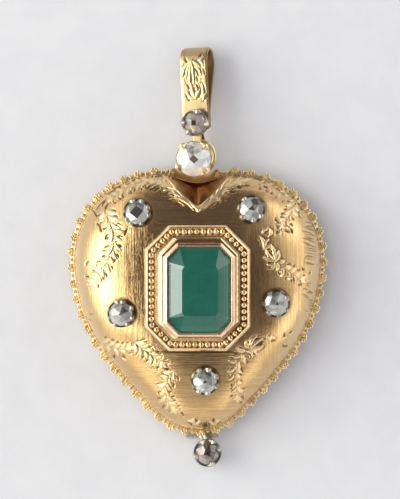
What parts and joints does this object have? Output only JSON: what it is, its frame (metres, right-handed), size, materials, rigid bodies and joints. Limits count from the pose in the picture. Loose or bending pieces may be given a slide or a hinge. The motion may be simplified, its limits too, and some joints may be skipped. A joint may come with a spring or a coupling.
{
  "type": "heart pendant",
  "caption": "Puffed heart pendant with an emerald in a beaded octagonal frame, rose-cut stones, a grained border, a hinged bail at the top and a fixed drop.",
  "frame": {"origin": "middle of the flat back, under the emerald, on the surface that the pendant lies on", "axes": "+Z out of the front, +Y towards the bail, +X to the right seen from the front"},
  "size_m": [0.03, 0.0483, 0.0109],
  "materials": {
    "satin_gold": "satin brushed gold",
    "border_gold": "polished gold grains",
    "frame_gold": "gold, worn bright on the beads",
    "rose_gold": "polished rose gold",
    "bail_gold": "engraved yellow gold",
    "silver": "worn silver, darkened in its corners",
    "emerald": "polished facets",
    "diamond": "polished rose-cut facets",
    "brown_diamond": "polished rose-cut facets"
  },
  "bodies": {
    "heart": {"heart_front": "satin_gold", "heart_back": "satin_gold", "rim_border": "border_gold", "emerald_frame": "frame_gold", "emerald_collet": "rose_gold", "emerald": "emerald", "collet_upper_left": "silver", "collet_upper_right": "silver", "collet_left": "silver", "collet_right": "silver", "collet_lower": "silver", "diamond_upper_left": "diamond", "diamond_upper_right": "diamond", "diamond_left": "diamond", "diamond_right": "diamond", "diamond_lower": "diamond", "top_setting": "border_gold", "top_diamond": "diamond", "drop_setting": "silver", "drop_diamond": "brown_diamond"},
    "bail": {"bail": "bail_gold", "bail_collet": "silver", "bail_diamond": "brown_diamond"}
  },
  "joints": [
    {"name": "bail_swing", "type": "hinge", "parent": "heart", "child": "bail", "pos_m": [0.0002, 0.01688, 0.0027], "axis": [1, 0, 0], "range_deg": [-130, 22]}
  ]
}
